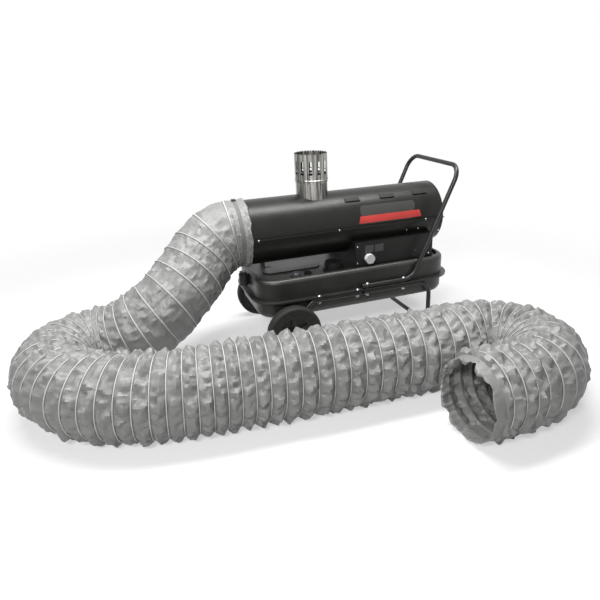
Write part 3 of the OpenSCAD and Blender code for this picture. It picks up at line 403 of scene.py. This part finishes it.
def finish(name, colour, roughness, metal=0, grain=400, depth=0.1, spots=12, uneven=0.12,
           shine=0.5):
    """A surface with a fine grain and broad uneven patches of shine and shade. Its grain and
    spots are the bumps and the patches to a metre, so a grain of 1000 is one to a millimetre.
    The patches' noise keeps to its middle, from low to high."""
    low, high = 0.3, 0.7
    material = bpy.data.materials.new(name)
    material.use_nodes = True
    tree = material.node_tree
    shader = tree.nodes["Principled BSDF"]
    shader.inputs["Metallic"].default_value = metal
    shader.inputs["Specular IOR Level"].default_value = shine
    place = add(tree, "TexCoord").outputs["Object"]
    patches = add(tree, "TexNoise", {"Vector": place, "Scale": spots, "Detail": 4}).outputs["Fac"]
    fine = add(tree, "TexNoise", {"Vector": place, "Scale": grain, "Detail": 2}).outputs["Fac"]
    shade = add(tree, "MapRange", {"Value": patches, "From Min": low, "From Max": high,
                                   "To Min": 1 - uneven, "To Max": 1 + uneven})
    tint = add(tree, "HueSaturation", {"Value": shade.outputs[0], "Color": linear(colour)})
    rough = add(tree, "MapRange", {"Value": patches, "From Min": low, "From Max": high,
                                   "To Min": roughness * (1 - uneven),
                                   "To Max": roughness * (1 + uneven)})
    bump = add(tree, "Bump", {"Height": fine, "Strength": depth, "Distance": 0.001})
    tree.links.new(tint.outputs[0], shader.inputs["Base Color"])
    tree.links.new(rough.outputs[0], shader.inputs["Roughness"])
    tree.links.new(bump.outputs[0], shader.inputs["Normal"])
    return material


def dress(material, *pieces):
    """Gives a finish to pieces, and to the frame's nodes by their names."""
    for piece in pieces:
        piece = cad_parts.get(piece, piece)
        piece.data.materials.clear()
        piece.data.materials.append(material)


# Polyester cloth, woven and rolled with a silver-grey coat: it shines dully and creases sharply,
# like paper. Its thread is too fine to show and is drawn at about 1.1 mm; small creases some
# 22 mm apart lie over the modelled folds.
duct_cloth = finish("coated duct cloth", "#7a7a79", 0.45, grain=900, depth=0.15, spots=5,
                    uneven=0.08)
tree = duct_cloth.node_tree
shader = tree.nodes["Principled BSDF"]
weave = shader.inputs["Normal"].links[0].from_socket
place = add(tree, "TexCoord").outputs["Object"]
small_creases = add(tree, "TexNoise", {"Vector": place, "Scale": 45, "Detail": 2,
                                       "Roughness": 0.5, "Distortion": 0.5},
                    noise_type="RIDGED_MULTIFRACTAL")
creased = add(tree, "Bump", {"Height": small_creases.outputs["Fac"], "Strength": 1,
                             "Distance": 0.003, "Normal": weave})
tree.links.new(creased.outputs[0], shader.inputs["Normal"])

# Spring steel drawn through a pale plastic coat: smooth, and lighter than the cloth
coated_wire = finish("plastic-coated spring wire", "#b4b4b1", 0.45, grain=200, depth=0.05)

# Polyester webbing, woven flat: matt, with a thread that can be seen
webbing = finish("grey webbing", "#6b6b69", 0.8, grain=1500, depth=0.6)

# Steel pressed to a buckle and plated: dark, with a soft metal shine
buckle_steel = finish("dark plated buckle", "#3b3c3d", 0.4, metal=0.6)
dress(duct_cloth, duct, cuff, hem)
dress(coated_wire, wire)
dress(webbing, "duct_strap")
dress(buckle_steel, "strap_buckle")

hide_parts("duct_hose")
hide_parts("duct_cuff")
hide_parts("mouth_hem")
for piece in (duct, wire, cuff, hem):
    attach(piece, "heater")


# Casing: a rolled steel drum in two halves screwed together along the sides, in satin black
# powder coat, with pressed louvres; a steel ring takes the duct and a wire guard covers the fan.

# Powder coat, sprayed and baked on steel: satin black, with a fine even skin
casing_black = finish("satin black powder coat", "#151513", 0.32, grain=1400, depth=0.2,
                      shine=0.3)

# Steel screws, barrelled in bright zinc: pale metal, faintly mottled
zinc = finish("zinc-plated screw steel", "#b9bcbf", 0.32, metal=1, grain=700)
dress(casing_black, "upper_shell", "lower_shell", "outlet_ring", "rear_guard", "casing_support")
dress(zinc, "seam_screws", "side_screws", "panel_screws", "filter_screw")

# Inside the casing: the fan and its motor, the fuel pump, the burner, and the steel drums that
# the flame heats. They are bare or plated metal, seen only through the guard.

# Mild steel that has been hot: brown-grey, in broad uneven patches
bare_steel = finish("heat-blued bare steel", "#77736c", 0.45, metal=0.9, spots=20, uneven=0.25)

# Aluminium as it leaves the mould: grey, with a sandy skin
cast_alloy = finish("cast aluminium", "#8c8f91", 0.5, metal=0.9, grain=500, depth=0.4)

# Nylon, moulded: black and half matt
fan_black = finish("black moulded fan", "#1b1c1d", 0.5)
dress(bare_steel, "combustion_chamber", "heat_exchanger", "exchanger_saddles", "burner_head",
      "motor_shaft", "motor_bracket", "fuel_pickup")
dress(cast_alloy, "fan_motor", "fuel_pump")
dress(fan_black, "fan")

# Flue: a rolled stainless sleeve and a slotted cowl with a toothed rim, bright, with its
# reflections painted into its colour as upright streaks. The sleeve sits on the drum's spigot and
# the cowl on the sleeve.

# Stainless steel, bright rolled and bent round: the room's reflection is painted into its colour
# as upright streaks of light and dark, about 8 mm wide and drawn twenty times as long, which also
# vary its shine; its skin is a fine 3 mm ripple
flue_colour = "#adaca8"
streak_scale, streak_stretch = 120, 0.05
flue_steel = bpy.data.materials.new("bright rolled stainless steel")
flue_steel.use_nodes = True
tree = flue_steel.node_tree
shader = tree.nodes["Principled BSDF"]
shader.inputs["Metallic"].default_value = 1
place = add(tree, "TexCoord").outputs["Object"]
upright = add(tree, "Mapping", {"Vector": place, "Scale": (1, 1, streak_stretch)})
painted_reflection_streaks = add(tree, "TexNoise", {"Vector": upright.outputs[0], "Scale": streak_scale,
                                 "Detail": 3}).outputs["Fac"]
# Painted reflection: the streaks take the base colour from nearly black up to full
shade = add(tree, "MapRange", {"Value": painted_reflection_streaks, "From Min": 0.35, "From Max": 0.62,
                               "To Min": 0.08, "To Max": 1})
tint = add(tree, "HueSaturation", {"Value": shade.outputs[0], "Color": linear(flue_colour)})
rough = add(tree, "MapRange", {"Value": painted_reflection_streaks, "From Min": 0.35, "From Max": 0.65,
                               "To Min": 0.20, "To Max": 0.42})
ripple = add(tree, "TexNoise", {"Vector": place, "Scale": 300, "Detail": 2}).outputs["Fac"]
bump = add(tree, "Bump", {"Height": ripple, "Strength": 0.1, "Distance": 0.001})
tree.links.new(tint.outputs[0], shader.inputs["Base Color"])
tree.links.new(rough.outputs[0], shader.inputs["Roughness"])
tree.links.new(bump.outputs[0], shader.inputs["Normal"])
dress(flue_steel, "flue_sleeve", "flue_cowl")

# Control box: folded black sheet with a screwed panel, which carries two small displays, a lamp
# and the grey thermostat knob; the board, thermostat and transformer sit behind.

# Powder coat on folded sheet: satin black, a little duller than the casing
panel_black = finish("satin black panel", "#191918", 0.4, grain=1400, depth=0.25, shine=0.3)

# ABS, moulded: light grey and smooth, with a soft shine
knob_grey = finish("light grey knob plastic", "#c9cac8", 0.42, grain=600)

# Acrylic, smoked and polished: dark grey and glossy, with hardly any grain
window_black = finish("smoked display plastic", "#474847", 0.3, grain=100, depth=0.02)

# Polycarbonate lens, unlit: so dark a red that it looks nearly black, and glossy
lens_red = finish("dark red lamp lens", "#2c0f0c", 0.2, grain=100, depth=0.02)

# Glass-fibre board under green solder mask: half matt
board_green = finish("green circuit board", "#2d6a45", 0.5)
dress(panel_black, "control_housing", "control_panel")
dress(knob_grey, "thermostat_knob")
dress(window_black, "display_bezels", "display_modules")
dress(lens_red, "indicator_lamp")
dress(board_green, "circuit_board")
dress(fan_black, "thermostat", "ignition_transformer", "cable_gland")
dress(zinc, "thermostat_spindle")

# Fuel tank: two pressed steel halves joined at a flange, in black enamel; filler, gauge, vent,
# filter and drain are screwed into it.

# Enamel, dipped and stoved on pressed steel: black, and deep enough to shine along the edges
tank_black = finish("black tank enamel", "#262623", 0.36, grain=1000, depth=0.3, shine=0.45)

# Polypropylene, moulded: black, with a dull shine
fitting_black = finish("black fitting plastic", "#1b1b1a", 0.45, shine=0.35)

# Copper, drawn to pipe and dulled by the air
copper = finish("copper pipe", "#a8683c", 0.35, metal=1)

# Smoked plastic over the gauge's float: grey and glossy
gauge_grey = finish("grey gauge cover", "#55585b", 0.3)

# Zinc alloy, cast and blackened: dark, with a trace of metal in its shine
filter_grey = finish("dark cast filter", "#2b2d2f", 0.45, metal=0.3)
dress(tank_black, "tank_upper", "tank_lower")
dress(fitting_black, "filler_neck", "filler_cap", "tank_vent")
dress(gauge_grey, "fuel_gauge")
dress(filter_grey, "fuel_filter", "drain_plug")
dress(copper, "fuel_line")

# Frame: steel tube bent to a handle, a leg hoop and the wheel frames, and bolted through the
# tank's flange with bright bolts.

# Paint sprayed on drawn tube: black, and shiny along the top of each bend
tube_black = finish("black painted tube", "#181817", 0.33, grain=900, depth=0.2, shine=0.35)
dress(tube_black, "handle", "leg_hoop", "wheel_frame_left", "wheel_frame_right")
dress(zinc, "flange_bolts", "flange_nuts", "axle")
dress(fitting_black, "axle_caps")

# Wheels: black moulded five-spoke rims that turn on a plain steel axle, with rubber tyres pushed
# over them. A cap at each end of the axle keeps them on.

# Polypropylene, moulded: black and half matt
rim_black = finish("black wheel plastic", "#21211f", 0.5, shine=0.35)

# Rubber, moulded: matt black with a fine rough skin
rubber = finish("black tyre rubber", "#20201e", 0.7, grain=600, depth=0.5, shine=0.3)
dress(rim_black, "wheel_rim_left", "wheel_rim_right")
dress(rubber, "tyre_left", "tyre_right")

# Label: a dark plastic film with a plain red stripe along its foot, both stuck on the side of
# the casing.

# Vinyl film, rolled: smooth and flat, with an even dull shine, in dark grey and in red
label_film = finish("dark label film", "#363634", 0.35, grain=300, depth=0.03, shine=0.35)
stripe_red = finish("red stripe film", "#bb3a35", 0.4, grain=300, depth=0.03)
dress(label_film, "side_label")
dress(stripe_red, "label_stripe")

# Studio: a pale floor that fades into a white backdrop, under a long soft light overhead and a
# weaker one in front. The camera, metal and glass see the backdrop white, but it lights the
# heater only faintly.
floor_half = 6
fade_middle = (-0.35, -0.25, 0)
fade_from, fade_to = 1.0, 2.4
floor_alpha = 0.5


def floor_points(along, over):
    """A square level floor."""
    span = 2 * floor_half
    return np.stack([span * along - floor_half, floor_half - span * over, 0 * along], -1)


floor = sheet_of("studio_floor", floor_points, 1, 1)[0]
floor_white = finish("white studio floor", "#ededed", 0.9, grain=50, depth=0, uneven=0)
tree = floor_white.node_tree
place = add(tree, "TexCoord").outputs["Object"]
from_middle = add(tree, "VectorMath", {0: place, 1: fade_middle}, operation="SUBTRACT")
away = add(tree, "VectorMath", {0: from_middle.outputs[0]}, operation="LENGTH")
fade = add(tree, "MapRange", {"Value": away.outputs["Value"], "From Min": fade_from,
                              "From Max": fade_to, "To Min": floor_alpha, "To Max": 0},
           interpolation_type="SMOOTHSTEP")
tree.links.new(fade.outputs[0], tree.nodes["Principled BSDF"].inputs["Alpha"])
dress(floor_white, floor)

glow_on_heater, glow_seen = 0.10, 1.0
world = bpy.data.worlds.new("studio")
bpy.context.scene.world = world
world.use_nodes = True
tree = world.node_tree
ray = add(tree, "LightPath")
seen = add(tree, "Math", {0: ray.outputs["Is Camera Ray"], 1: ray.outputs["Is Glossy Ray"]},
           operation="MAXIMUM")
clear = add(tree, "Math", {0: seen.outputs[0], 1: ray.outputs["Is Transmission Ray"]},
            operation="MAXIMUM")
glow = add(tree, "MapRange", {"Value": clear.outputs[0], "To Min": glow_on_heater,
                              "To Max": glow_seen})
backdrop = tree.nodes["Background"]
backdrop.inputs["Color"].default_value = (1, 1, 1, 1)
tree.links.new(glow.outputs[0], backdrop.inputs["Strength"])


def light(name, place, aim, size, power):
    """A soft rectangular light of this many watts."""
    lamp = bpy.data.lights.new(name, "AREA")
    lamp.shape = "RECTANGLE"
    lamp.size, lamp.size_y = size
    lamp.energy = power
    stand = bpy.data.objects.new(name, lamp)
    stand.location = place
    stand.rotation_euler = (Vector(aim) - Vector(place)).to_track_quat("-Z", "Y").to_euler()
    bpy.context.scene.collection.objects.link(stand)


# The overhead light aims a hair off straight down, which keeps its long side along the heater
light("overhead", (-0.3, -0.1, 2.4), (-0.3, -0.1001, 0), (2.6, 0.6), 95)
light("front", (-1.6, -2.4, 2.0), (-0.3, -0.4, 0.2), (0.8, 0.3), 60)
bpy.context.scene.view_settings.view_transform = "Standard"
